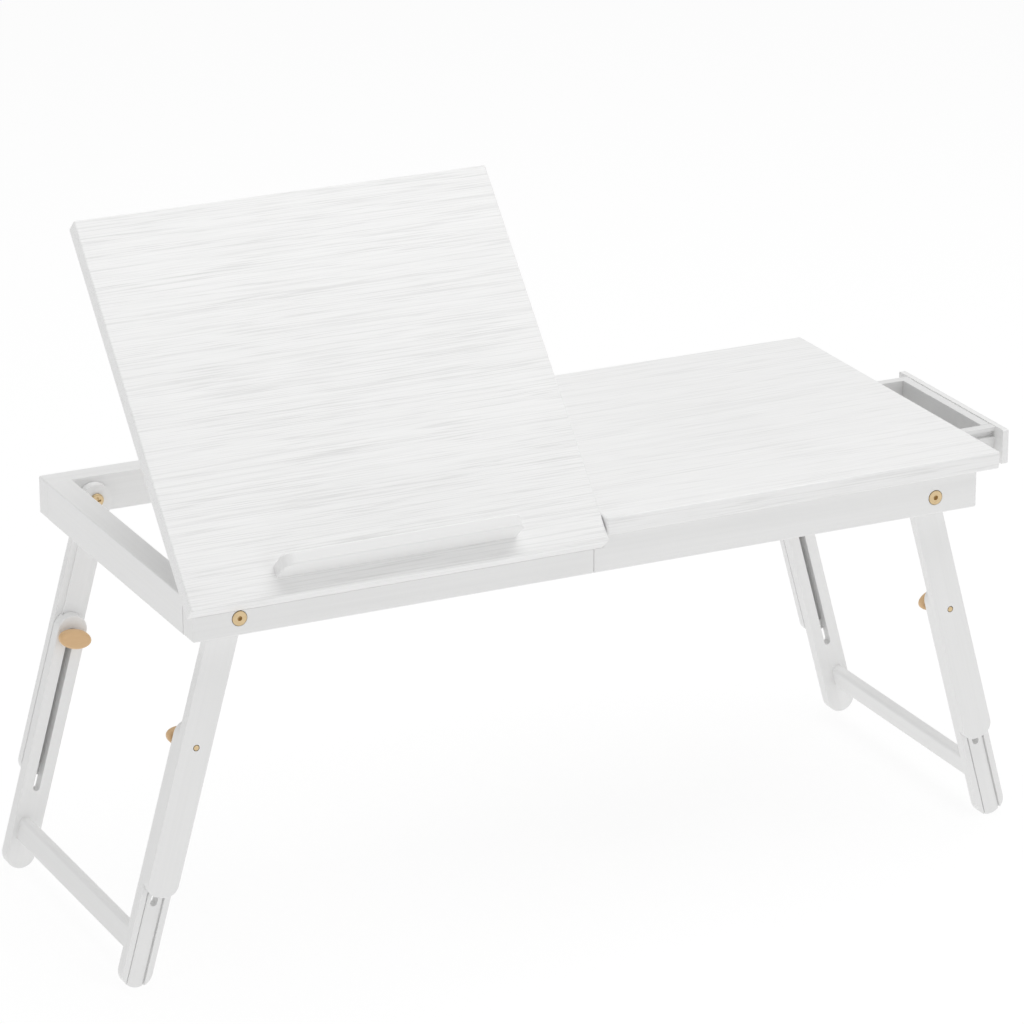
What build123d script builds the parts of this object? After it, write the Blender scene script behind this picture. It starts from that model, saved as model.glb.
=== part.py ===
"""Folding bed table with a tilting top, a side drawer and height-adjustable splayed legs.

Millimetres, +Z up, +X along the table towards the drawer end, +Y from front to back.
The table is drawn about the middle of its frame with the floor at zero, then everything
is shifted so that the origin is the middle of the bottom of its bounding box.
"""
from build123d import *
import math
import os

# Frame of the table
frame_length = 704.0
frame_depth = 328.0
rail_height = 32.5
rail_thickness = 20.0
end_rail_thickness = 21.5
divider_thickness = 20.0
rail_corner_radius = 3.0
rail_edge_radius = 1.2
front_seam_x = -3.6
front_seam_depth = 0.7

# Fixed right top and tilting left top
panel_thickness = 15.0
panel_overhang = 6.0
left_overhang = 5.5
right_overhang = 18.0
panel_split_x = 4.5
panel_split_gap = 1.0
panel_corner_radius = 2.0
panel_edge_radius = 1.6
tilt_seat_gap = 0.3

# Tilt of the left top and its butt hinges
tilt_rest_deg = 48.0
hinge_inset = 10.0
hinge_length = 44.0
hinge_end_inset = 62.0
hinge_leaf_thickness = 1.2
hinge_leaf_gap = 0.3
hinge_rail_leaf_width = 9.0
hinge_panel_leaf_width = 18.0
hinge_knuckle_diameter = 6.0
hinge_pin_diameter = 3.0
hinge_pin_clearance = 0.04
hinge_recess_clearance = 0.3
hinge_middle_share = 0.4
hinge_screw_diameter = 2.6
hinge_screw_head_diameter = 4.6
hinge_screw_head_height = 0.7
hinge_screw_length = 9.0
hinge_screw_clearance = 0.05
hinge_screw_spread_share = 0.62
bevel_clearance = 0.6

# Stop that keeps things from sliding off the tilted top
stop_length = 207.5
stop_thickness = 11.0
stop_height = 25.0
stop_inset = 16.0
stop_end_radius = 10.0
stop_edge_radius = 1.5
stop_left_inset = 76.5

# Prop under the tilted top, its pivot on a slat and the scalloped strips that it bears on
prop_pivot_inset = 97.0
prop_slat_depth = 34.0
prop_slat_thickness = 8.0
prop_slat_gap = 0.5
prop_span = 130.0
prop_arm_width = 16.0
prop_arm_thickness = 10.0
prop_rod_diameter = 6.0
prop_rod_clearance = 0.05
prop_crossbar_diameter = 8.0
prop_block_width = 14.0
prop_block_depth = 18.0
prop_block_rise = 4.5
prop_side_gap = 0.5
prop_strip_spacing = 76.0
prop_strip_width = 16.0
prop_strip_thickness = 5.0
prop_strip_end = 12.0
prop_scallop_radius = 8.0
prop_scallop_depth = 0.7
prop_bearing_gap = 0.3
prop_notch_shares = (1.0, 0.82, 0.62, 0.4)

# Legs: upper bar with a tongue, lower bar with a channel and a slot
splay_deg = 15.2
pivot_drop = 18.3
leg_side_gap = 0.5
leg_stop_gap = 0.2
upper_leg_width = 27.0
upper_leg_thickness = 8.5
upper_leg_reach = 242.0
upper_leg_corner_radius = 11.0
leg_edge_radius = 1.0
tongue_width = 15.4
tongue_height = 1.3
tongue_start = 18.0
tongue_end_gap = 6.0
bolt_groove_depth = 6.0
lower_leg_width = 26.0
lower_leg_thickness = 11.0
lower_leg_top = 97.5
leg_slide_gap = 0.3
channel_relief_width = 1.5
channel_relief_depth = 1.5
slot_width = 6.0
slot_end_reach = 250.0
stretcher_reach = 286.5
foot_below_stretcher = 36.0
stretcher_height = 19.5
stretcher_thickness = 10.0
stretcher_offset = 2.5
stretcher_edge_radius = 3.5

# Leg pivots: barrel nut from outside, cross-head screw from inside
barrel_diameter = 8.0
barrel_head_diameter = 12.2
barrel_head_height = 2.2
barrel_head_sink = 1.6
barrel_head_edge_radius = 0.5
barrel_rim_gap = 0.45
barrel_socket_diameter = 4.0
barrel_socket_depth = 3.0
barrel_clearance = 0.05
pivot_screw_diameter = 5.0
pivot_screw_length = 16.0
pivot_screw_head_diameter = 11.6
pivot_screw_head_height = 2.2
pivot_screw_gap = 0.2
cross_recess_length = 6.0
cross_recess_width = 1.7
cross_recess_depth = 1.7

# Clamp bolts, washers and wing knobs
bolt_reach = 115.25
bolt_diameter = 4.6
bolt_proud = 0.2
bolt_edge_radius = 0.6
bolt_rim_gap = 0.45
bolt_rim_depth = 3.0
washer_diameter = 14.0
washer_thickness = 1.2
knob_length = 28.5
knob_width = 16.7
knob_thickness = 7.2
knob_edge_radius = 2.6
knob_hub_diameter = 11.5
knob_hub_height = 2.4
knob_gap = 0.3
knob_bore_clearance = 0.05
knob_bore_floor = 3.0

# Drawer and its runners
drawer_out = 71.0
drawer_closing_gap = 0.3
drawer_front_width = 175.0
drawer_front_height = 30.5
drawer_front_thickness = 6.0
drawer_front_corner_radius = 1.6
drawer_front_edge_radius = 1.0
drawer_top_gap = 0.4
drawer_length = 292.0
drawer_width = 149.0
drawer_wall = 8.5
drawer_side_height = 25.5
drawer_side_drop = 0.6
drawer_bottom_thickness = 3.5
drawer_edge_radius = 0.8
drawer_opening_gap = 1.0
groove_drop = 4.6
groove_height = 5.5
groove_depth = 4.0
runner_gap = 0.3
runner_thickness = 12.0
runner_bottom_drop = 29.0

# One overrun for every cut
cut_overrun = 5.0

# Places worked out from the sizes above
tilt_rest = math.radians(tilt_rest_deg)
splay = math.radians(splay_deg)
foot_radius = lower_leg_width / 2
leg_reach = stretcher_reach + foot_below_stretcher
frame_top = pivot_drop + (leg_reach - foot_radius) * math.cos(splay) + foot_radius
frame_bottom = frame_top - rail_height
half_length = frame_length / 2
half_depth = frame_depth / 2
pivot_inset = (
    end_rail_thickness
    + leg_stop_gap
    + (rail_height - pivot_drop) * math.tan(splay)
    + upper_leg_width / 2 / math.cos(splay)
)
pivot_x = half_length - pivot_inset
pivot_z = frame_top - pivot_drop
leg_outer = half_depth - rail_thickness - leg_side_gap
upper_leg_inner = leg_outer - upper_leg_thickness
lower_leg_outer = upper_leg_inner - leg_slide_gap
lower_leg_inner = lower_leg_outer - lower_leg_thickness
tilt_left_x = -half_length - left_overhang
tilt_right_x = panel_split_x - panel_split_gap / 2
right_left_x = panel_split_x + panel_split_gap / 2
right_right_x = half_length + right_overhang
panel_half_depth = half_depth + panel_overhang
hinge_y = -half_depth + hinge_inset
hinge_z = frame_top
prop_x = (tilt_left_x + tilt_right_x) / 2
prop_pivot_y = -half_depth + prop_pivot_inset
prop_pivot_drop = rail_height - prop_slat_thickness - prop_arm_thickness / 2 - prop_slat_gap
prop_pivot_z = frame_top - prop_pivot_drop
prop_reach = prop_pivot_inset - hinge_inset
bearing_offset = (
    prop_strip_thickness
    - tilt_seat_gap
    - prop_scallop_depth
    + prop_bearing_gap
    + prop_crossbar_diameter / 2
)
prop_length = prop_reach + (prop_pivot_drop * math.cos(tilt_rest) - bearing_offset) / math.sin(tilt_rest)
prop_swing_ratio = 2.0
drawer_front_x = half_length + drawer_closing_gap + drawer_out
drawer_half = drawer_width / 2
drawer_side_top = frame_top - drawer_top_gap - drawer_side_drop
drawer_side_bottom = drawer_side_top - drawer_side_height
groove_top = frame_top - groove_drop
groove_bottom = groove_top - groove_height
divider_left_x = panel_split_x - divider_thickness / 2
divider_right_x = divider_left_x + divider_thickness


def block(x_span, y_span, z_span):
    """Box between pairs of coordinates."""
    size = [high - low for low, high in (x_span, y_span, z_span)]
    middle = [(high + low) / 2 for low, high in (x_span, y_span, z_span)]
    return Pos(*middle) * Box(*size)


def rod(start, direction, radius, length):
    """Cylinder from a start point along a direction."""
    plane = Plane(origin=start, z_dir=direction)
    return plane * Cylinder(radius, length, align=(Align.CENTER, Align.CENTER, Align.MIN))


def along(shape, axis):
    """Edges of a shape that run along an axis."""
    return shape.edges().filter_by(axis)


def softened(shape, axis, radius):
    """Shape with its edges along one axis rounded."""
    return fillet(along(shape, axis), radius)


def group(shapes):
    """Separate solids kept together under one name."""
    return Compound([solid for shape in shapes for solid in shape.solids()])


def front_and_back(shape):
    """A front piece and its mirror image at the back."""
    return [shape, mirror(shape, about=Plane.XZ)]


def left_and_right(shape):
    """A left piece and its mirror image at the right."""
    return [shape, mirror(shape, about=Plane.YZ)]


def tilted(shape):
    """A piece of the tilting top turned from flat to its resting tilt."""
    hinge = Pos(0, hinge_y, hinge_z)
    return hinge * Rot(tilt_rest_deg, 0, 0) * hinge.inverse() * shape


def swung(shape):
    """A piece of the prop turned from folded to its resting angle."""
    pivot = Pos(0, prop_pivot_y, prop_pivot_z)
    return pivot * Rot(prop_swing_ratio * tilt_rest_deg, 0, 0) * pivot.inverse() * shape


def splayed(shape):
    """A front left leg piece, drawn straight down from its pivot, set at its splay."""
    return Pos(-pivot_x, 0, pivot_z) * Rot(0, splay_deg, 0) * shape


def leg_plate(profile, outer, inner):
    """Front leg outline in X and Z, given thickness between two distances from the middle."""
    return extrude(Plane.XZ.offset(outer) * profile, -(outer - inner))


parts = {}

# Rails of the frame, the front one in two lengths that butt at a seam

hinge_positions = (tilt_left_x + hinge_end_inset, tilt_right_x - hinge_end_inset)
knuckle_radius = hinge_knuckle_diameter / 2
knuckle_room = knuckle_radius + hinge_recess_clearance
rail_z = (frame_bottom, frame_top)


def plain_rail(x_span, y_span, outer_corners):
    """Rail with soft edges, and round corners where it turns the corner of the frame."""
    rail = softened(block(x_span, y_span, rail_z), Axis.X, rail_edge_radius)
    corners = along(rail, Axis.Z).sort_by(Axis.X)
    chosen = [edge for edge in corners if outer_corners(edge.center())]
    return fillet(chosen, rail_corner_radius - rail_edge_radius) if chosen else rail


def pivot_hole(shape, y_sign):
    """Rail with the hole and the head seat of a leg pivot at each end that it reaches."""
    for x in (-pivot_x, pivot_x):
        start = (x, y_sign * (half_depth + cut_overrun), pivot_z)
        shape -= rod(start, (0, -y_sign, 0), barrel_diameter / 2, rail_thickness + 2 * cut_overrun)
        seat_radius = barrel_head_diameter / 2 + barrel_rim_gap
        shape -= rod(start, (0, -y_sign, 0), seat_radius, cut_overrun + barrel_head_sink)
    return shape


def hinge_room(x):
    """Space for the rail leaf, its knuckles and its screws at one hinge."""
    half = hinge_length / 2 + hinge_recess_clearance
    depth = hinge_leaf_thickness + hinge_leaf_gap
    width = hinge_rail_leaf_width + hinge_recess_clearance
    leaf_z = (frame_top - depth, frame_top + cut_overrun)
    leaf = block((x - half, x + half), (hinge_y, hinge_y + width), leaf_z)
    return leaf + rod((x - half, hinge_y, hinge_z), (1, 0, 0), knuckle_room, 2 * half)


front_y = (-half_depth, -half_depth + rail_thickness)
bevel_drop = (hinge_inset + bevel_clearance / math.sin(tilt_rest)) * math.tan(tilt_rest)
bevel_outline = Polyline(
    (-half_depth - cut_overrun, frame_top - bevel_drop - cut_overrun * math.tan(tilt_rest)),
    (hinge_y + bevel_clearance / math.sin(tilt_rest), frame_top),
    (hinge_y + bevel_clearance / math.sin(tilt_rest), frame_top + cut_overrun),
    (-half_depth - cut_overrun, frame_top + cut_overrun),
    close=True,
)
bevel_start = Plane.YZ.offset(tilt_left_x - cut_overrun)
bevel_length = right_left_x - tilt_left_x + cut_overrun
bevel = extrude(bevel_start * make_face(bevel_outline), bevel_length)

seam_reach = front_seam_depth + cut_overrun
seam_outline = Polyline(
    (front_seam_x - seam_reach, -half_depth - cut_overrun),
    (front_seam_x + seam_reach, -half_depth - cut_overrun),
    (front_seam_x, -half_depth + front_seam_depth),
    close=True,
)
seam_start = Plane.XY.offset(frame_bottom - cut_overrun)
seam_groove = extrude(seam_start * make_face(seam_outline), rail_height + 2 * cut_overrun)

front_corner_y = -half_depth + rail_corner_radius
front_left = plain_rail(
    (-half_length, front_seam_x),
    front_y,
    lambda c: c.X < front_seam_x and c.Y < front_corner_y,
)
front_left = pivot_hole(front_left, -1) - bevel - seam_groove
for x in hinge_positions:
    front_left -= hinge_room(x)
parts["front_rail_left"] = front_left

front_right = plain_rail(
    (front_seam_x, half_length),
    front_y,
    lambda c: c.X > front_seam_x and c.Y < front_corner_y,
)
parts["front_rail_right"] = pivot_hole(front_right, -1) - bevel - seam_groove

back_y = (half_depth - rail_thickness, half_depth)
back = plain_rail((-half_length, half_length), back_y, lambda c: c.Y > half_depth - rail_corner_radius)
parts["back_rail"] = pivot_hole(back, 1)

inner_half_depth = half_depth - rail_thickness
between_rails = (-inner_half_depth, inner_half_depth)
left_end = block((-half_length, -half_length + end_rail_thickness), between_rails, rail_z)
parts["left_end_rail"] = softened(left_end, Axis.Y, rail_edge_radius)

right_inner_x = half_length - end_rail_thickness
right_end = softened(block((right_inner_x, half_length), between_rails, rail_z), Axis.Y, rail_edge_radius)
mouth_half = drawer_half + drawer_opening_gap
mouth = block(
    (right_inner_x - cut_overrun, half_length + cut_overrun),
    (-mouth_half, mouth_half),
    (drawer_side_bottom - drawer_opening_gap, frame_top + cut_overrun),
)
parts["right_end_rail"] = right_end - mouth

divider = block((divider_left_x, divider_right_x), between_rails, rail_z)
parts["centre_divider"] = softened(divider, Axis.Y, rail_edge_radius)

# Tops


def top_board(x_span, z_low):
    """Board with round plan corners and softened top and bottom edges."""
    span = (-panel_half_depth, panel_half_depth)
    board = softened(block(x_span, span, (z_low, z_low + panel_thickness)), Axis.Z, panel_corner_radius)
    rims = board.edges().group_by(Axis.Z)
    return fillet(rims[0] + rims[-1], panel_edge_radius)


parts["right_top"] = top_board((right_left_x, right_right_x), frame_top)

tilt_low = frame_top + tilt_seat_gap
tilt_top = top_board((tilt_left_x, tilt_right_x), tilt_low)
for x in hinge_positions:
    half = hinge_length / 2 + hinge_recess_clearance
    leaf_high = frame_top + hinge_leaf_gap + hinge_leaf_thickness
    leaf_back = hinge_y + hinge_panel_leaf_width + hinge_recess_clearance
    tilt_top -= block((x - half, x + half), (hinge_y, leaf_back), (frame_top - cut_overrun, leaf_high))
    tilt_top -= rod((x - half, hinge_y, hinge_z), (1, 0, 0), knuckle_room, 2 * half)

stop_x = (tilt_left_x + stop_left_inset, tilt_left_x + stop_left_inset + stop_length)
stop_y = (-panel_half_depth + stop_inset, -panel_half_depth + stop_inset + stop_thickness)
tilt_high = tilt_low + panel_thickness
stop = block(stop_x, stop_y, (tilt_high, tilt_high + stop_height))
stop = fillet(along(stop, Axis.Y).group_by(Axis.Z)[-1], stop_end_radius)
stop_rim = [edge for edge in stop.edges() if edge.center().Z > tilt_high]
stop_rim = [edge for edge in stop_rim if edge.geom_type != GeomType.CIRCLE]
stop_rim = [edge for edge in stop_rim if abs(edge.tangent_at(0).Y) < abs(edge.tangent_at(0).X)]
stop = fillet(stop_rim, stop_edge_radius)
parts["book_stop"] = tilted(stop)

# Butt hinges between the front rail and the tilting top


def screw_places(x, y):
    """Two screw centres on one hinge leaf."""
    reach = hinge_length * hinge_screw_spread_share / 2
    return [(x - reach, y), (x + reach, y)]


def hinge_leaf(x, width, z_low, middle_knuckle):
    """Leaf of one hinge with its share of the knuckles, bored for the pin."""
    half = hinge_length / 2
    middle = hinge_length * hinge_middle_share / 2
    plate = block((x - half, x + half), (hinge_y, hinge_y + width), (z_low, z_low + hinge_leaf_thickness))
    knuckles = rod((x - half, hinge_y, hinge_z), (1, 0, 0), knuckle_radius, hinge_length)
    gap = hinge_leaf_gap / 2
    room_y = (hinge_y - knuckle_room, hinge_y + knuckle_room)
    room_z = (hinge_z - knuckle_room, hinge_z + knuckle_room)
    centre = block((x - middle - gap, x + middle + gap), room_y, room_z)
    if middle_knuckle:
        centre = block((x - middle + gap, x + middle - gap), room_y, room_z)
        ends = block((x - half - cut_overrun, x + half + cut_overrun), room_y, room_z) - centre
        leaf = (plate - ends) + (knuckles & centre)
    else:
        leaf = (plate + knuckles) - centre
    bore_start = (x - half - cut_overrun, hinge_y, hinge_z)
    bore_radius = hinge_pin_diameter / 2 + hinge_pin_clearance
    return leaf - rod(bore_start, (1, 0, 0), bore_radius, hinge_length + 2 * cut_overrun)


def hinge_screw(x, y, z, up, spare):
    """Countersunk hinge screw with its flat head at z, or the hole for it with spare all round."""
    body = rod((x, y, z), (0, 0, up), hinge_screw_diameter / 2 + spare, hinge_screw_length + spare)
    head = rod((x, y, z), (0, 0, up), hinge_screw_head_diameter / 2 + spare, hinge_screw_head_height + spare)
    return body + head


rail_leaf_high = frame_top - hinge_leaf_gap
rail_leaf_low = rail_leaf_high - hinge_leaf_thickness
panel_leaf_low = frame_top + hinge_leaf_gap
rail_screw_y = hinge_y + (knuckle_room + hinge_rail_leaf_width) / 2
panel_screw_y = hinge_y + (knuckle_room + hinge_panel_leaf_width) / 2
rail_leaves, panel_leaves, hinge_pins, rail_screws, panel_screws = [], [], [], [], []
for x in hinge_positions:
    rail_leaf = hinge_leaf(x, hinge_rail_leaf_width, rail_leaf_low, False)
    panel_leaf = hinge_leaf(x, hinge_panel_leaf_width, panel_leaf_low, True)
    for place in screw_places(x, rail_screw_y):
        room = hinge_screw(*place, rail_leaf_high, -1, hinge_screw_clearance)
        rail_leaf -= room
        parts["front_rail_left"] -= room
        rail_screws.append(hinge_screw(*place, rail_leaf_high, -1, 0))
    for place in screw_places(x, panel_screw_y):
        room = hinge_screw(*place, panel_leaf_low, 1, hinge_screw_clearance)
        panel_leaf -= room
        tilt_top -= room
        panel_screws.append(tilted(hinge_screw(*place, panel_leaf_low, 1, 0)))
    rail_leaves.append(rail_leaf)
    panel_leaves.append(tilted(panel_leaf))
    pin_start = (x - hinge_length / 2, hinge_y, hinge_z)
    hinge_pins.append(rod(pin_start, (1, 0, 0), hinge_pin_diameter / 2, hinge_length))
parts["tilt_top"] = tilted(tilt_top)
parts["hinge_rail_leaves"] = group(rail_leaves)
parts["hinge_top_leaves"] = group(panel_leaves)
parts["hinge_pins"] = group(hinge_pins)
parts["hinge_rail_screws"] = group(rail_screws)
parts["hinge_top_screws"] = group(panel_screws)

# Prop: a slat across the frame carries the pivot rod, the crossbar bears on scalloped strips

slat_top = frame_bottom + prop_slat_thickness
slat_y = (prop_pivot_y - prop_slat_depth / 2, prop_pivot_y + prop_slat_depth / 2)
slat = block((-half_length + end_rail_thickness, divider_left_x), slat_y, (frame_bottom, slat_top))
parts["prop_slat"] = softened(slat, Axis.X, rail_edge_radius)

arm_places = (prop_x - prop_span / 2, prop_x + prop_span / 2)
block_offset = prop_arm_width / 2 + prop_side_gap
rod_half = prop_span / 2 + block_offset + prop_block_width
block_y = (prop_pivot_y - prop_block_depth / 2, prop_pivot_y + prop_block_depth / 2)
block_z = (slat_top, prop_pivot_z + prop_rod_diameter / 2 + prop_block_rise)
pivot_rod_start = (prop_x - rod_half, prop_pivot_y, prop_pivot_z)
pivot_rod = rod(pivot_rod_start, (1, 0, 0), prop_rod_diameter / 2, 2 * rod_half)
pivot_blocks = []
for x, side in zip(arm_places, (-1, 1)):
    near = x + side * block_offset
    far = near + side * prop_block_width
    bearer = block((min(near, far), max(near, far)), block_y, block_z)
    bearer = fillet(along(bearer, Axis.X).group_by(Axis.Z)[-1], prop_block_rise)
    pivot_blocks.append(bearer - pivot_rod)
parts["prop_pivot_blocks"] = group(pivot_blocks)
parts["prop_pivot_rod"] = pivot_rod

crossbar_y = prop_pivot_y + prop_length
crossbar_half = (prop_span + prop_arm_width) / 2
crossbar_start = (prop_x - crossbar_half, crossbar_y, prop_pivot_z)
crossbar = rod(crossbar_start, (1, 0, 0), prop_crossbar_diameter / 2, 2 * crossbar_half)
arm_outline = Pos(prop_length / 2, 0) * SlotCenterToCenter(prop_length, prop_arm_thickness)
arms = []
for x in arm_places:
    arm_side = (x - prop_arm_width / 2, prop_pivot_y, prop_pivot_z)
    plane = Plane(origin=arm_side, x_dir=(0, 1, 0), z_dir=(1, 0, 0))
    arm = extrude(plane * arm_outline, prop_arm_width)
    room = rod((x - prop_arm_width, prop_pivot_y, prop_pivot_z), (1, 0, 0),
               prop_rod_diameter / 2 + prop_rod_clearance, 2 * prop_arm_width)
    arms.append(arm - room - crossbar)
for name, arm in zip(("prop_arm_left", "prop_arm_right"), arms):
    parts[name] = swung(arm)
parts["prop_crossbar"] = swung(crossbar)


def bearing_place(angle):
    """Distance from the tilt axis to the crossbar along the top, at one tilt."""
    return (prop_reach + prop_length) * math.cos(angle) - prop_pivot_drop * math.sin(angle)


notches = [bearing_place(tilt_rest * share) for share in prop_notch_shares]
strip_y = (hinge_y + notches[0] - prop_strip_end, hinge_y + notches[-1] + prop_strip_end)
strip_low = tilt_low - prop_strip_thickness
strips = []
for x in (prop_x - prop_strip_spacing / 2, prop_x + prop_strip_spacing / 2):
    strip_x = (x - prop_strip_width / 2, x + prop_strip_width / 2)
    strip = softened(block(strip_x, strip_y, (strip_low, tilt_low)), Axis.Z, prop_scallop_depth)
    for notch in notches:
        scallop_z = strip_low + prop_scallop_depth - prop_scallop_radius
        centre = (strip_x[0] - cut_overrun, hinge_y + notch, scallop_z)
        strip -= rod(centre, (1, 0, 0), prop_scallop_radius, prop_strip_width + 2 * cut_overrun)
    strips.append(tilted(strip))
parts["prop_strips"] = group(strips)

# Legs, drawn straight down from the pivot of the front left one

upper_bar = Pos(0, -upper_leg_reach / 2) * Rectangle(upper_leg_width, upper_leg_reach)
upper_outline = Circle(upper_leg_width / 2) + upper_bar
upper_outline = fillet(upper_outline.vertices().group_by(Axis.Y)[0], upper_leg_corner_radius)
upper = leg_plate(upper_outline, leg_outer, upper_leg_inner)
outer_rim = upper.faces().sort_by(Axis.Y)[0].edges()
upper = fillet(outer_rim, leg_edge_radius)
tongue_end = upper_leg_reach - tongue_end_gap
tongue_outline = Pos(0, -(tongue_start + tongue_end) / 2) * Rectangle(tongue_width, tongue_end - tongue_start)
tongue_inner = upper_leg_inner - tongue_height
upper += leg_plate(tongue_outline, upper_leg_inner, tongue_inner)
groove_low = tongue_end - slot_width
groove_middle = Pos(0, -(bolt_reach + groove_low) / 2) * Rot(0, 0, 90)
bolt_groove = groove_middle * SlotCenterToCenter(groove_low - bolt_reach, slot_width)
upper -= leg_plate(bolt_groove, tongue_inner + bolt_groove_depth, tongue_inner - cut_overrun)
barrel_hole = barrel_diameter / 2 + barrel_clearance
upper_face = -leg_outer - cut_overrun
upper -= rod((0, upper_face, 0), (0, 1, 0), barrel_hole, upper_leg_thickness + 2 * cut_overrun)

washer_inner = lower_leg_inner - leg_slide_gap - washer_thickness
knob_outer = washer_inner - knob_gap
knob_inner = knob_outer - knob_hub_height - knob_thickness
bolt_inner = knob_inner + knob_bore_floor
bolt_start = (0, -leg_outer - bolt_proud, -bolt_reach)
bolt = rod(bolt_start, (0, 1, 0), bolt_diameter / 2, leg_outer + bolt_proud - bolt_inner)
upper -= bolt
bolt_rim = bolt_diameter / 2 + bolt_rim_gap
upper -= rod((0, upper_face, -bolt_reach), (0, 1, 0), bolt_rim, cut_overrun + bolt_rim_depth)
bolt = fillet(bolt.edges().group_by(Axis.Y)[0], bolt_edge_radius)

lower_length = leg_reach - lower_leg_top
lower_middle = Pos(0, -(lower_leg_top + leg_reach) / 2)
lower_outline = lower_middle * Rot(0, 0, 90) * SlotOverall(lower_length, lower_leg_width)
lower = leg_plate(lower_outline, lower_leg_outer, lower_leg_inner)
inner_rim = lower.faces().sort_by(Axis.Y)[-1].edges()
lower = fillet(inner_rim, leg_edge_radius)
channel_width = tongue_width + 2 * leg_slide_gap
channel_floor = tongue_inner - leg_slide_gap
channel_outline = lower_middle * Rectangle(channel_width, lower_length + cut_overrun)
lower -= leg_plate(channel_outline, lower_leg_outer + cut_overrun, channel_floor)
relief_offset = (channel_width - channel_relief_width) / 2
for offset in (-relief_offset, relief_offset):
    relief = lower_middle * Pos(offset, 0) * Rectangle(channel_relief_width, lower_length + cut_overrun)
    lower -= leg_plate(relief, lower_leg_outer + cut_overrun, channel_floor - channel_relief_depth)
slot_middle = Pos(0, -(bolt_reach + slot_end_reach) / 2) * Rot(0, 0, 90)
slot_outline = slot_middle * SlotCenterToCenter(slot_end_reach - bolt_reach, slot_width)
lower -= leg_plate(slot_outline, lower_leg_outer + cut_overrun, lower_leg_inner - cut_overrun)

stretcher_z = (-stretcher_reach - stretcher_height / 2, -stretcher_reach + stretcher_height / 2)
stretcher_x = (-stretcher_offset - stretcher_thickness / 2, -stretcher_offset + stretcher_thickness / 2)
stretcher = block(stretcher_x, (-lower_leg_inner, lower_leg_inner), stretcher_z)
stretcher = fillet(along(stretcher, Axis.Y).group_by(Axis.Z)[-1], stretcher_edge_radius)
stretcher = fillet(along(stretcher, Axis.Y).group_by(Axis.Z)[0], leg_edge_radius)

washer_start = (0, -washer_inner - washer_thickness, -bolt_reach)
washer = rod(washer_start, (0, 1, 0), washer_diameter / 2, washer_thickness) - bolt

knob_start = (0, -knob_outer, -bolt_reach)
knob = rod(knob_start, (0, 1, 0), knob_hub_diameter / 2, knob_hub_height + knob_thickness / 2)
wing = Pos(0, -bolt_reach) * Ellipse(knob_length / 2, knob_width / 2)
wing = leg_plate(wing, knob_outer - knob_hub_height, knob_inner)
wing = fillet(wing.edges().filter_by(GeomType.ELLIPSE), knob_edge_radius)
bore_radius = bolt_diameter / 2 + knob_bore_clearance
bore_length = knob_outer - bolt_inner + knob_bore_clearance
knob = knob + wing - rod(knob_start, (0, 1, 0), bore_radius, bore_length)

barrel_start = (-pivot_x, -half_depth, pivot_z)
barrel_length = half_depth - upper_leg_inner
barrel = rod(barrel_start, (0, 1, 0), barrel_diameter / 2, barrel_length)
head_start = (-pivot_x, -half_depth + barrel_head_sink, pivot_z)
barrel_head = rod(head_start, (0, -1, 0), barrel_head_diameter / 2, barrel_head_height)
barrel_head = fillet(barrel_head.edges().group_by(Axis.Y)[0], barrel_head_edge_radius)
socket_start = (-pivot_x, -half_depth + barrel_head_sink - barrel_head_height, pivot_z)
barrel_socket = rod(socket_start, (0, 1, 0), barrel_socket_diameter / 2, barrel_socket_depth)
screw_face = -upper_leg_inner + pivot_screw_gap
screw_start = (-pivot_x, screw_face, pivot_z)
pivot_screw = rod(screw_start, (0, -1, 0), pivot_screw_diameter / 2, pivot_screw_length)
barrel_bore = rod(screw_start, (0, -1, 0), pivot_screw_diameter / 2, pivot_screw_length + pivot_screw_gap)
barrel = barrel + barrel_head - barrel_bore - barrel_socket
screw_head = rod(screw_start, (0, 1, 0), pivot_screw_head_diameter / 2, pivot_screw_head_height)
screw_head = fillet(screw_head.edges().group_by(Axis.Y)[-1], pivot_screw_head_height / 2)
head_face = screw_face + pivot_screw_head_height
recess_y = (head_face - cross_recess_depth, head_face + cut_overrun)
for width, height in ((cross_recess_length, cross_recess_width), (cross_recess_width, cross_recess_length)):
    recess_x = (-pivot_x - width / 2, -pivot_x + width / 2)
    screw_head -= block(recess_x, recess_y, (pivot_z - height / 2, pivot_z + height / 2))
pivot_screw += screw_head

corner_names = ("front_left", "back_left", "front_right", "back_right")
for name, shape in (("upper_leg", upper), ("lower_leg", lower), ("knob", knob)):
    left_pair = front_and_back(splayed(shape))
    corners = left_pair + [mirror(piece, about=Plane.YZ) for piece in left_pair]
    for corner, piece in zip(corner_names, corners):
        parts[f"{name}_{corner}"] = piece
for side, piece in zip(("left", "right"), left_and_right(splayed(stretcher))):
    parts[f"stretcher_{side}"] = piece
for name, shape in (("clamp_bolts", bolt), ("clamp_washers", washer)):
    pair = group(front_and_back(splayed(shape)))
    for side, pieces in zip(("left", "right"), left_and_right(pair)):
        parts[f"{name}_{side}"] = group([pieces])
for name, shape in (("pivot_barrels", barrel), ("pivot_screws", pivot_screw)):
    left_pair = front_and_back(shape)
    parts[name] = group(left_pair + [mirror(piece, about=Plane.YZ) for piece in left_pair])

# Drawer, drawn where it stands open, and its runners

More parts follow.
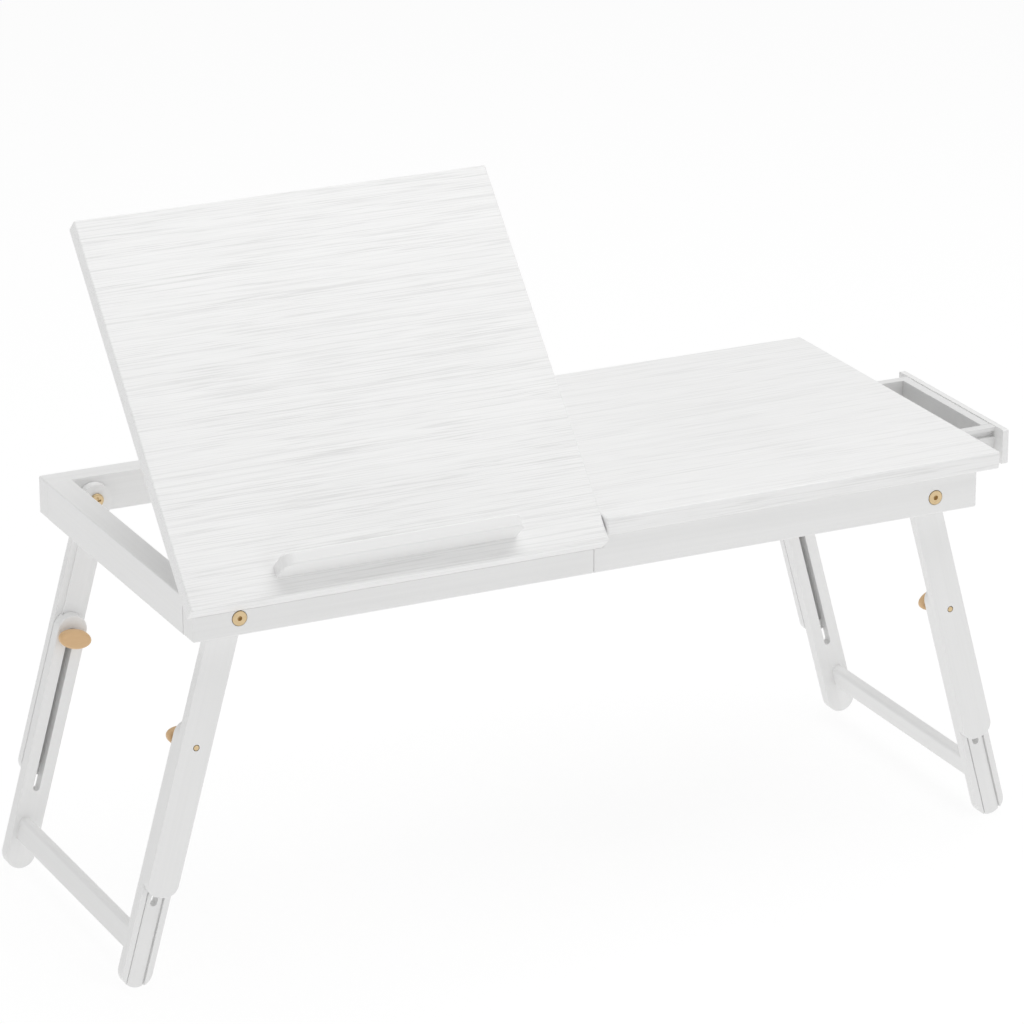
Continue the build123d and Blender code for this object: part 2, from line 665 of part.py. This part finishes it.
front_top = frame_top - drawer_top_gap
front_x = (drawer_front_x, drawer_front_x + drawer_front_thickness)
drawer_front = block(
    front_x,
    (-drawer_front_width / 2, drawer_front_width / 2),
    (front_top - drawer_front_height, front_top),
)
drawer_front = softened(drawer_front, Axis.X, drawer_front_corner_radius)
drawer_front = fillet(drawer_front.faces().sort_by(Axis.X)[-1].edges(), drawer_front_edge_radius)
parts["drawer_front"] = drawer_front

drawer_back_x = drawer_front_x - drawer_length
side_z = (drawer_side_bottom, drawer_side_top)
side = block((drawer_back_x, drawer_front_x), (-drawer_half, -drawer_half + drawer_wall), side_z)
side = fillet(along(side, Axis.X).group_by(Axis.Z)[-1], drawer_edge_radius)
side -= block(
    (drawer_back_x - cut_overrun, drawer_front_x + cut_overrun),
    (-drawer_half - cut_overrun, -drawer_half + groove_depth),
    (groove_bottom, groove_top),
)
for name, piece in zip(("drawer_side_front", "drawer_side_back"), front_and_back(side)):
    parts[name] = piece

inner_half = drawer_half - drawer_wall
box_inner_x = (drawer_back_x + drawer_wall, drawer_front_x - drawer_wall)
box_ends = ((drawer_back_x, box_inner_x[0]), (box_inner_x[1], drawer_front_x))
for name, end_x in zip(("drawer_back", "drawer_box_front"), box_ends):
    box_end = block(end_x, (-inner_half, inner_half), side_z)
    parts[name] = fillet(along(box_end, Axis.Y).group_by(Axis.Z)[-1], drawer_edge_radius)
bottom_z = (drawer_side_bottom, drawer_side_bottom + drawer_bottom_thickness)
parts["drawer_bottom"] = block(box_inner_x, (-inner_half, inner_half), bottom_z)

runner_outer = drawer_half + runner_gap + runner_thickness
runner = block(
    (divider_right_x, right_inner_x),
    (-runner_outer, -drawer_half - runner_gap),
    (frame_top - runner_bottom_drop, drawer_side_top),
)
runner += block(
    (divider_right_x, right_inner_x),
    (-drawer_half - runner_gap, -drawer_half + groove_depth - runner_gap),
    (groove_bottom + runner_gap, groove_top - runner_gap),
)
for name, piece in zip(("runner_front", "runner_back"), front_and_back(runner)):
    parts[name] = piece

# Origin at the middle of the bottom of the bounding box

extent = group(parts.values()).bounding_box()
shift = Pos(-(extent.min.X + extent.max.X) / 2, -(extent.min.Y + extent.max.Y) / 2, -extent.min.Z)

os.makedirs("parts", exist_ok=True)
for name, shape in parts.items():
    export_step(shift * shape, f"parts/{name}.step")
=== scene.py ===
import math

import bpy
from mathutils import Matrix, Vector


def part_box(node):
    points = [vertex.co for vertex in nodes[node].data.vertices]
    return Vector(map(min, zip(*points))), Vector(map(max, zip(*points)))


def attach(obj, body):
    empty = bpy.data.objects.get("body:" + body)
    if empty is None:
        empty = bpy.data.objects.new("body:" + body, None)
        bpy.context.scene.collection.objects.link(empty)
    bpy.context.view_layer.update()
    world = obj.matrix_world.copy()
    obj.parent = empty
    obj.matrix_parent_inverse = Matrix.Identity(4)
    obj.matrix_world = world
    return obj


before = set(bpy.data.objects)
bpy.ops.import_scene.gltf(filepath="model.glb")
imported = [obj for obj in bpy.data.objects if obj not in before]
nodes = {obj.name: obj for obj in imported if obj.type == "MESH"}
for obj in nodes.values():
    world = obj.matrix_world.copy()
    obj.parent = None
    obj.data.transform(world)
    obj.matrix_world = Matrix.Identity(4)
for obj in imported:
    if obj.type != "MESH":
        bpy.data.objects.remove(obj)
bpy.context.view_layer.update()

# Studio: the table stands on a plain pale floor under broad soft light.
# The camera looks down on it from the front left through a long lens,
# placed from the frame's left front top corner.
mm = 0.001
eye_from_corner = Vector((-1398.0, -3420.1, 1426.5)) * mm
view_turn = math.radians(26.065)
view_drop = math.radians(20.12)
lens_mm = 180.07
sensor_mm = 36.0
far_clip = 60.0
air_light = 0.53
light_white = (1.0, 1.0, 1.0, 1.0)
floor_half = 14.0
floor_grey = (0.16, 0.16, 0.16, 1.0)
floor_glow = 0.862

scene = bpy.context.scene
scene.view_settings.view_transform = "Standard"
back_rail_low, back_rail_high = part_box("back_rail")
front_face_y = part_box("front_rail_right")[0][1]
frame_corner = Vector((back_rail_low[0], front_face_y, back_rail_high[2]))
looking = Vector((
    math.sin(view_turn) * math.cos(view_drop),
    math.cos(view_turn) * math.cos(view_drop),
    -math.sin(view_drop),
))
camera_data = bpy.data.cameras.new("photo_camera")
camera_data.lens = lens_mm
camera_data.sensor_width = sensor_mm
camera_data.clip_end = far_clip
camera = bpy.data.objects.new("photo_camera", camera_data)
camera.location = frame_corner + eye_from_corner
camera.rotation_euler = looking.to_track_quat("-Z", "Y").to_euler()
scene.collection.objects.link(camera)
scene.camera = camera

air = bpy.data.worlds.new("studio_air")
air.use_nodes = True
air_shader = air.node_tree.nodes["Background"]
air_shader.inputs["Color"].default_value = light_white
air_shader.inputs["Strength"].default_value = air_light
scene.world = air


def soft_light(name, place, aim, size, watts):
    """Square studio light that faces a point."""
    data = bpy.data.lights.new(name, "AREA")
    data.size = size
    data.energy = watts
    light = bpy.data.objects.new(name, data)
    light.location = place
    light.rotation_euler = (Vector(aim) - Vector(place)).to_track_quat("-Z", "Y").to_euler()
    scene.collection.objects.link(light)


soft_light("overhead_light", place=(0.5, 0.0, 3.0), aim=(0.0, 0.0, 0.3), size=3.0, watts=44.0)
soft_light("front_light", place=(1.5, -3.6, 1.5), aim=(0.0, 0.0, 0.2), size=1.8, watts=12.5)
soft_light("left_light", place=(-3.6, -0.9, 1.5), aim=(0.0, 0.0, 0.2), size=1.8, watts=8.5)

floor_mesh = bpy.data.meshes.new("studio_floor")
floor_corners = [
    (-floor_half, -floor_half, 0),
    (floor_half, -floor_half, 0),
    (floor_half, floor_half, 0),
    (-floor_half, floor_half, 0),
]
floor_mesh.from_pydata(floor_corners, [], [(0, 1, 2, 3)])
floor = bpy.data.objects.new("studio_floor", floor_mesh)
scene.collection.objects.link(floor)
floor_paint = bpy.data.materials.new("floor_paint")
floor_paint.use_nodes = True
floor_shader = floor_paint.node_tree.nodes["Principled BSDF"]
floor_shader.inputs["Base Color"].default_value = floor_grey
floor_shader.inputs["Roughness"].default_value = 1.0
floor_shader.inputs["Specular IOR Level"].default_value = 0.0
floor_shader.inputs["Emission Color"].default_value = light_white
floor_shader.inputs["Emission Strength"].default_value = floor_glow
floor_mesh.materials.append(floor_paint)


# Frame rails: straight lengths of softwood planed to one height and glued up
# with dowels, the front one in two lengths that butt under the tilting top.
# All are sprayed with satin white lacquer, and the grain only just shows.
class Wire:
    """A node socket that can be added, taken away and multiplied."""

    def __init__(self, tree, socket=None):
        self.tree = tree
        self.socket = socket

    def node(self, kind, settings=None, inputs=None, output=0):
        """A new node with its settings, then its sockets' values or links."""
        made = self.tree.nodes.new(kind)
        for name, value in (settings or {}).items():
            setattr(made, name, value)
        for name, value in (inputs or {}).items():
            for one in value if isinstance(value, list) else [value]:
                if isinstance(one, Wire):
                    self.tree.links.new(one.socket, made.inputs[name])
                else:
                    made.inputs[name].default_value = one
        return Wire(self.tree, made.outputs[output])

    def maths(self, operation, first, second):
        """A new maths node on two wires or numbers."""
        return self.node("ShaderNodeMath", {"operation": operation}, {0: first, 1: second})

    def __add__(self, other):
        return self.maths("ADD", self, other)

    def __radd__(self, other):
        return self.maths("ADD", other, self)

    def __sub__(self, other):
        return self.maths("SUBTRACT", self, other)

    def __rsub__(self, other):
        return self.maths("SUBTRACT", other, self)

    def __mul__(self, other):
        return self.maths("MULTIPLY", self, other)

    def __rmul__(self, other):
        return self.maths("MULTIPLY", other, self)


def blank_finish(name):
    """A material with one shader, then its tree wrapped for wiring, then the shader."""
    material = bpy.data.materials.new(name)
    material.use_nodes = True
    shader = material.node_tree.nodes["Principled BSDF"]
    return material, Wire(material.node_tree), shader


def feed(shader, name, wire):
    """Links a wire to one of the shader's sockets."""
    wire.tree.links.new(wire.socket, shader.inputs[name])


def streaks(wire, turn, length, width, detail=4.0, rough=0.6):
    """Noise drawn out along a piece: long one way, fine across, after the given turn."""
    place = wire.node("ShaderNodeTexCoord", output="Object")
    drawn = wire.node(
        "ShaderNodeMapping",
        {"vector_type": "TEXTURE"},
        {"Vector": place, "Rotation": turn, "Scale": (length, width, width)},
    )
    return wire.node(
        "ShaderNodeTexNoise",
        None,
        {"Vector": drawn, "Scale": 1.0, "Detail": detail, "Roughness": rough},
    )


def between(wire, low, high):
    """Value that goes from low to high as the wire goes from 0 to 1."""
    return wire * (high - low) + low


def grey(level, blue_share):
    """Grey colour whose blue is a share of its level."""
    return (level, level, level * blue_share, 1.0)


def blended(wire, share, first, second):
    """Colour between two colours by a share."""
    return wire.node(
        "ShaderNodeMix",
        {"data_type": "RGBA", "clamp_factor": True},
        {0: share, 6: first, 7: second},
        output=2,
    )


def bumped(wire, height, strength, depth):
    """Normal that follows a height."""
    return wire.node(
        "ShaderNodeBump",
        None,
        {"Height": height, "Strength": strength, "Distance": depth},
        output="Normal",
    )


def white_lacquer(name, turn, whiteness=0.90):
    """Satin white lacquer on planed wood whose grain runs along X before the turn."""
    shade_share = 0.89
    grain_weight = 0.7
    cloud_weight = 0.3
    material, wire, shader = blank_finish(name)
    grain = streaks(wire, turn, length=0.30, width=0.0035)
    cloud = streaks(wire, turn, length=0.12, width=0.05, detail=2.0)
    share = grain * grain_weight + cloud * cloud_weight
    shade = grey(whiteness * shade_share, blue_share=0.994)
    white = grey(whiteness, blue_share=0.997)
    feed(shader, "Base Color", blended(wire, share, shade, white))
    feed(shader, "Roughness", between(grain, low=0.34, high=0.50))
    feed(shader, "Normal", bumped(wire, grain, strength=0.10, depth=0.0004))
    return material


def dress(material, *names):
    """Gives CAD nodes their finish."""
    for name in names:
        for place in nodes[name].material_slots:
            place.material = material


along_x = (0.0, 0.0, 0.0)
along_y = (0.0, 0.0, math.radians(90))
rail_lacquer = white_lacquer("rail_lacquer", along_x)
cross_lacquer = white_lacquer("cross_lacquer", along_y)
dress(rail_lacquer, "front_rail_left", "front_rail_right", "back_rail")
dress(cross_lacquer, "left_end_rail", "right_end_rail", "centre_divider")


# Tops: two boards of coated fibreboard with rounded edges, the right one glued
# down, the left one on hinges with a stop along its lower edge. The coating is
# embossed with fine wood grain that runs the length of the table.
def embossed_white(name, spread, contrast):
    """White foil pressed with thin grain lines along X, the given spread apart."""
    foil_white = (0.935, 0.935, 0.932, 1.0)
    line_grey = (0.70, 0.70, 0.695, 1.0)
    noise_middle = 0.5
    slight_spread_share = 0.55
    slight_weight = 0.28
    fine_weight = 0.10
    cloud_weight = 0.14
    line_height = -0.8
    fine_height = 0.3
    material, wire, shader = blank_finish(name)

    def grain_lines(length, width, thin):
        """Lines where drawn out noise passes its middle value."""
        drift = streaks(wire, along_x, length, width, detail=2.0, rough=0.45)
        away = wire.node("ShaderNodeMath", {"operation": "ABSOLUTE"}, {0: drift - noise_middle})
        return wire.node(
            "ShaderNodeMapRange",
            {"interpolation_type": "SMOOTHSTEP"},
            {"Value": away, "From Min": 0.0, "From Max": thin, "To Min": 1.0, "To Max": 0.0},
        )

    bold = grain_lines(length=0.20, width=spread, thin=0.055)
    slight = grain_lines(length=0.07, width=spread * slight_spread_share, thin=0.12)
    fine = streaks(wire, along_x, length=0.05, width=0.0008, detail=3.0)
    broken = streaks(wire, along_x, length=0.10, width=0.010, detail=2.0)
    cloud = streaks(wire, along_x, length=0.25, width=0.06, detail=2.0)
    lines = bold * between(broken, low=-0.10, high=1.60) + slight * slight_weight
    share = lines * contrast + fine * fine_weight + cloud * cloud_weight
    height = lines * line_height + fine * fine_height
    feed(shader, "Base Color", blended(wire, share, foil_white, line_grey))
    feed(shader, "Roughness", between(lines, low=0.46, high=0.62))
    feed(shader, "Normal", bumped(wire, height, strength=0.25, depth=0.0003))
    return material


dress(embossed_white("right_foil", spread=0.0030, contrast=0.38), "right_top")
dress(embossed_white("tilt_foil", spread=0.0020, contrast=0.48), "tilt_top")
dress(white_lacquer("stop_lacquer", along_x), "book_stop")


# Butt hinges: two pairs of pressed steel leaves let into the front rail and the
# underside of the tilting top, each on a steel pin and held by countersunk screws.
# All are bright zinc plated.
def zinc_plate(name, lightness):
    """Zinc plated steel with a faint mottled grain."""
    dull_share = 0.82
    bright_share = 1.06
    material, wire, shader = blank_finish(name)
    mottle = streaks(wire, along_x, length=0.006, width=0.0016, detail=5.0)
    dull = grey(dull_share * lightness, blue_share=1.01)
    bright = grey(bright_share * lightness, blue_share=1.01)
    feed(shader, "Base Color", blended(wire, mottle, dull, bright))
    feed(shader, "Roughness", between(mottle, low=0.22, high=0.44))
    shader.inputs["Metallic"].default_value = 1.0
    return material


hinge_zinc = zinc_plate("hinge_zinc", lightness=0.62)
dress(hinge_zinc, "hinge_rail_leaves", "hinge_top_leaves", "hinge_pins")
dress(hinge_zinc, "hinge_rail_screws", "hinge_top_screws")


# Prop: two lacquered arms and a beech crossbar that swing on a beech rod held by
# two blocks on a slat across the frame. The crossbar bears on two scalloped
# strips glued under the tilting top.
def bare_beech(name):
    """Turned beech with fine brown flecks along X."""
    fleck_brown = (0.42, 0.25, 0.12, 1.0)
    pale_brown = (0.72, 0.51, 0.30, 1.0)
    material, wire, shader = blank_finish(name)
    grain = streaks(wire, along_x, length=0.05, width=0.0012, detail=5.0)
    feed(shader, "Base Color", blended(wire, grain, fleck_brown, pale_brown))
    feed(shader, "Roughness", between(grain, low=0.45, high=0.65))
    feed(shader, "Normal", bumped(wire, grain, strength=0.2, depth=0.0003))
    return material


upright = (math.radians(90), 0.0, math.radians(90))
dress(white_lacquer("arm_lacquer", upright), "prop_arm_left", "prop_arm_right")
dress(rail_lacquer, "prop_slat")
dress(cross_lacquer, "prop_strips", "prop_pivot_blocks")
dress(bare_beech("beech_dowel"), "prop_crossbar", "prop_pivot_rod")


# Drawer: a shallow lacquered box with a wider front, grooved along its sides.
# It runs on a tongue of each runner, and the runners are screwed between the
# divider and the right end rail.
# The box's ends, sides and bottom get a darker white than the front. This is painted shade standing
# in for the shadow inside the drawer; the real box has the same white lacquer.
box_shade_whiteness = 0.83
dress(cross_lacquer, "drawer_front")
dress(rail_lacquer, "runner_front", "runner_back")
box_end_painted_shade = white_lacquer("box_end_painted_shade", along_y, box_shade_whiteness)
dress(box_end_painted_shade, "drawer_box_front", "drawer_back")
box_side_painted_shade = white_lacquer("box_side_painted_shade", along_x, box_shade_whiteness)
dress(box_side_painted_shade, "drawer_side_front", "drawer_side_back", "drawer_bottom")


# Small screws: round cross-head screws of zinc plated steel, driven up through the
# slat into the prop's blocks and through the divider into the ends of the runners.
# Only their heads are made, as one mesh that goes with the frame.
screw_sizes = {
    "Head Radius": 3.1 * mm,
    "Head Height": 1.7 * mm,
    "Recess Length": 3.4 * mm,
    "Recess Width": 0.75 * mm,
    "Recess Depth": 1.1 * mm,
}
dome_segments = 28
dome_rings = 14
cutter_share = 4.0
crease = math.radians(35)
screw_zinc = zinc_plate("screw_zinc", lightness=0.70)


def cross_head_tree(name):
    """Geometry nodes that set a domed head with a cross recess on every point, along its aim."""
    tree = bpy.data.node_groups.new(name, "GeometryNodeTree")
    tree.interface.new_socket("Points", in_out="INPUT", socket_type="NodeSocketGeometry")
    for size in screw_sizes:
        tree.interface.new_socket(size, in_out="INPUT", socket_type="NodeSocketFloat")
    tree.interface.new_socket("Finish", in_out="INPUT", socket_type="NodeSocketMaterial")
    tree.interface.new_socket("Heads", in_out="OUTPUT", socket_type="NodeSocketGeometry")
    wire = Wire(tree)
    given = tree.nodes.new("NodeGroupInput").outputs
    points = Wire(tree, given["Points"])
    finish = Wire(tree, given["Finish"])
    radius, height, length, width, depth = [Wire(tree, given[size]) for size in screw_sizes]

    def vector(x, y, z):
        return wire.node("ShaderNodeCombineXYZ", None, {"X": x, "Y": y, "Z": z})

    def brick(size, place):
        cube = wire.node("GeometryNodeMeshCube", None, {"Size": size})
        return wire.node("GeometryNodeTransform", None, {"Geometry": cube, "Translation": place})

    ball = wire.node(
        "GeometryNodeMeshUVSphere",
        None,
        {"Segments": dome_segments, "Rings": dome_rings, "Radius": 1.0},
    )
    dome_size = vector(radius, radius, height)
    dome = wire.node("GeometryNodeTransform", None, {"Geometry": ball, "Scale": dome_size})
    wide = radius * cutter_share
    below = brick(vector(wide, wide, wide), vector(0.0, 0.0, wide * -0.5))
    recess_place = vector(0.0, 0.0, height)
    recess_tall = depth * 2.0
    recess_one = brick(vector(length, width, recess_tall), recess_place)
    recess_two = brick(vector(width, length, recess_tall), recess_place)
    head = wire.node(
        "GeometryNodeMeshBoolean",
        {"operation": "DIFFERENCE"},
        {"Mesh 1": dome, "Mesh 2": [below, recess_one, recess_two]},
    )
    aim = wire.node("GeometryNodeInputNamedAttribute", {"data_type": "FLOAT_VECTOR"}, {"Name": "aim"})
    turn = wire.node("FunctionNodeAlignRotationToVector", {"axis": "Z"}, {"Vector": aim})
    heads = wire.node(
        "GeometryNodeInstanceOnPoints",
        None,
        {"Points": points, "Instance": head, "Rotation": turn},
    )
    whole = wire.node("GeometryNodeRealizeInstances", None, {"Geometry": heads})
    dressed = wire.node("GeometryNodeSetMaterial", None, {"Geometry": whole, "Material": finish})
    outlet = tree.nodes.new("NodeGroupOutput")
    tree.links.new(dressed.socket, outlet.inputs["Heads"])
    return tree


screw_tree = cross_head_tree("cross_heads")


def screw_heads(name, body, places):
    """One mesh of screw heads for a body, from pairs of a place and the way the head faces."""
    points = bpy.data.meshes.new(name)
    points.from_pydata([place for place, aim in places], [], [])
    aims = points.attributes.new("aim", "FLOAT_VECTOR", "POINT")
    aims.data.foreach_set("vector", [number for place, aim in places for number in aim])
    piece = bpy.data.objects.new(name, points)
    scene.collection.objects.link(piece)
    heads = piece.modifiers.new("heads", "NODES")
    heads.node_group = screw_tree
    for socket in screw_tree.interface.items_tree:
        if socket.name in screw_sizes:
            heads[socket.identifier] = screw_sizes[socket.name]
        elif socket.name == "Finish":
            heads[socket.identifier] = screw_zinc
    bpy.context.view_layer.update()
    shown = piece.evaluated_get(bpy.context.evaluated_depsgraph_get())
    mesh = bpy.data.meshes.new_from_object(shown)
    piece.modifiers.clear()
    piece.data = mesh
    mesh.shade_smooth()
    mesh.set_sharp_from_angle(angle=crease)
    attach(piece, body)


slat_low, slat_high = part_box("prop_slat")
blocks_low, blocks_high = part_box("prop_pivot_blocks")
left_arm_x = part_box("prop_arm_left")[0][0]
right_arm_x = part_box("prop_arm_right")[1][0]
block_gap = 0.5 * mm
screw_spread = 5.0 * mm
left_block_x = (blocks_low[0] + left_arm_x - block_gap) / 2
right_block_x = (blocks_high[0] + right_arm_x + block_gap) / 2
slat_middle = (slat_low[1] + slat_high[1]) / 2
down = (0.0, 0.0, -1.0)
leftwards = (-1.0, 0.0, 0.0)
frame_screws = []
for x in (left_block_x, right_block_x):
    for y in (slat_middle - screw_spread, slat_middle + screw_spread):
        frame_screws.append(((x, y, slat_low[2]), down))
divider_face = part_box("centre_divider")[0][0]
for name in ("runner_front", "runner_back"):
    low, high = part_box(name)
    middle_y = (low[1] + high[1]) / 2
    middle_z = (low[2] + high[2]) / 2
    for z in (middle_z - screw_spread, middle_z + screw_spread):
        frame_screws.append(((divider_face, middle_y, z), leftwards))
screw_heads("frame_screws", "table_frame", frame_screws)


# Legs: planed bars with rounded ends, the upper one with a tongue on its inner
# face, the lower one with a channel and a slot that slide on it. A stretcher is
# glued between the two lower bars of each pair.
splay = math.radians(15.2)
left_lean = (0.0, -(math.pi / 2 - splay), 0.0)
right_lean = (0.0, -(math.pi / 2 + splay), 0.0)
left_leg_lacquer = white_lacquer("left_leg_lacquer", left_lean)
right_leg_lacquer = white_lacquer("right_leg_lacquer", right_lean)
dress(left_leg_lacquer, "upper_leg_front_left", "upper_leg_back_left")
dress(left_leg_lacquer, "lower_leg_front_left", "lower_leg_back_left")
dress(right_leg_lacquer, "upper_leg_front_right", "upper_leg_back_right")
dress(right_leg_lacquer, "lower_leg_front_right", "lower_leg_back_right")
dress(cross_lacquer, "stretcher_left", "stretcher_right")


# Leg fittings: a turned brass barrel nut through rail and leg with a cross-head
# screw from inside, and lower down a brass bolt with a zinc plated washer. The
# brass is satin and slightly tarnished.
def turned_brass(name):
    """Satin brass with a slight tarnish."""
    dull_brass = (0.60, 0.45, 0.25, 1.0)
    bright_brass = (0.78, 0.61, 0.38, 1.0)
    material, wire, shader = blank_finish(name)
    tarnish = streaks(wire, along_x, length=0.004, width=0.003)
    feed(shader, "Base Color", blended(wire, tarnish, dull_brass, bright_brass))
    feed(shader, "Roughness", between(tarnish, low=0.26, high=0.44))
    shader.inputs["Metallic"].default_value = 1.0
    return material


fitting_brass = turned_brass("fitting_brass")
dress(fitting_brass, "pivot_barrels", "pivot_screws", "clamp_bolts_left", "clamp_bolts_right")
dress(zinc_plate("washer_zinc", lightness=0.66), "clamp_washers_left", "clamp_washers_right")


# Wing knobs: oval tan mouldings on a short hub, one on each clamp bolt, that
# draw the lower bar tight against the upper one.
def tan_moulding(name):
    """Satin tan plastic with a faint cloudy flow in it."""
    deep_tan = (0.64, 0.41, 0.20, 1.0)
    light_tan = (0.78, 0.53, 0.30, 1.0)
    material, wire, shader = blank_finish(name)
    flow = streaks(wire, along_x, length=0.03, width=0.006, detail=3.0)
    feed(shader, "Base Color", blended(wire, flow, deep_tan, light_tan))
    feed(shader, "Roughness", between(flow, low=0.34, high=0.48))
    feed(shader, "Normal", bumped(wire, flow, strength=0.05, depth=0.0003))
    return material


knob_tan = tan_moulding("knob_tan")
dress(knob_tan, "knob_front_left", "knob_back_left", "knob_front_right", "knob_back_right")
